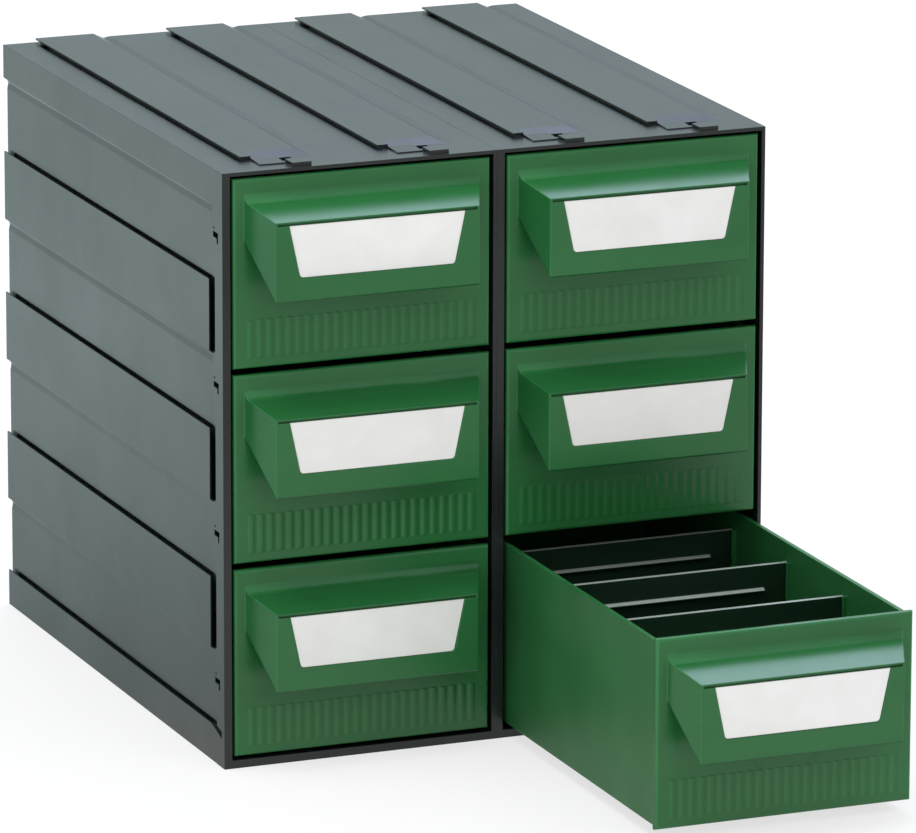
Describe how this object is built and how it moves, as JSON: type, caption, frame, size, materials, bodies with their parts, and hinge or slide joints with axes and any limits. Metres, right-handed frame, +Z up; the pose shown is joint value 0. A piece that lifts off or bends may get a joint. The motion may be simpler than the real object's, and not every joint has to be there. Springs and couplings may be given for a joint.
{
  "type": "plastic drawer unit",
  "caption": "Stackable small-parts cabinet: two hooked column cases with pull-out drawers, hooded label handles, fluted fronts and cross dividers.",
  "frame": {"origin": "middle of the cabinet's foot, on the surface it stands on, at half its case width and half its case depth", "axes": "+Z up; the drawer fronts face -Y; +X to the right when facing the drawers"},
  "size_m": [0.2266, 0.4148, 0.2367],
  "materials": {
    "case_plastic": "satin black moulded polystyrene",
    "drawer_plastic": "satin green moulded polystyrene",
    "divider_plastic": "satin black moulded sheet",
    "label_card": "blank white card, uncoated"
  },
  "bodies": {
    "cabinet": {"left_case": "case_plastic", "right_case": "case_plastic"},
    "drawer_left_bottom": {"drawer_left_bottom": "drawer_plastic", "label_left_bottom": "label_card", "divider_left_bottom_front": "divider_plastic", "divider_left_bottom_middle": "divider_plastic", "divider_left_bottom_back": "divider_plastic"},
    "drawer_left_middle": {"drawer_left_middle": "drawer_plastic", "label_left_middle": "label_card", "divider_left_middle_front": "divider_plastic", "divider_left_middle_middle": "divider_plastic", "divider_left_middle_back": "divider_plastic"},
    "drawer_left_top": {"drawer_left_top": "drawer_plastic", "label_left_top": "label_card", "divider_left_top_front": "divider_plastic", "divider_left_top_middle": "divider_plastic", "divider_left_top_back": "divider_plastic"},
    "drawer_right_bottom": {"drawer_right_bottom": "drawer_plastic", "label_right_bottom": "label_card", "divider_right_bottom_front": "divider_plastic", "divider_right_bottom_middle": "divider_plastic", "divider_right_bottom_back": "divider_plastic"},
    "drawer_right_middle": {"drawer_right_middle": "drawer_plastic", "label_right_middle": "label_card", "divider_right_middle_front": "divider_plastic", "divider_right_middle_middle": "divider_plastic", "divider_right_middle_back": "divider_plastic"},
    "drawer_right_top": {"drawer_right_top": "drawer_plastic", "label_right_top": "label_card", "divider_right_top_front": "divider_plastic", "divider_right_top_middle": "divider_plastic", "divider_right_top_back": "divider_plastic"}
  },
  "joints": [
    {"name": "slide_left_bottom", "type": "slide", "parent": "cabinet", "child": "drawer_left_bottom", "axis": [0, -1, 0], "range_m": [0, 0.188]},
    {"name": "slide_left_middle", "type": "slide", "parent": "cabinet", "child": "drawer_left_middle", "axis": [0, -1, 0], "range_m": [0, 0.188]},
    {"name": "slide_left_top", "type": "slide", "parent": "cabinet", "child": "drawer_left_top", "axis": [0, -1, 0], "range_m": [0, 0.188]},
    {"name": "slide_right_bottom", "type": "slide", "parent": "cabinet", "child": "drawer_right_bottom", "axis": [0, -1, 0], "range_m": [-0.1467, 0.0413]},
    {"name": "slide_right_middle", "type": "slide", "parent": "cabinet", "child": "drawer_right_middle", "axis": [0, -1, 0], "range_m": [0, 0.188]},
    {"name": "slide_right_top", "type": "slide", "parent": "cabinet", "child": "drawer_right_top", "axis": [0, -1, 0], "range_m": [0, 0.188]}
  ]
}
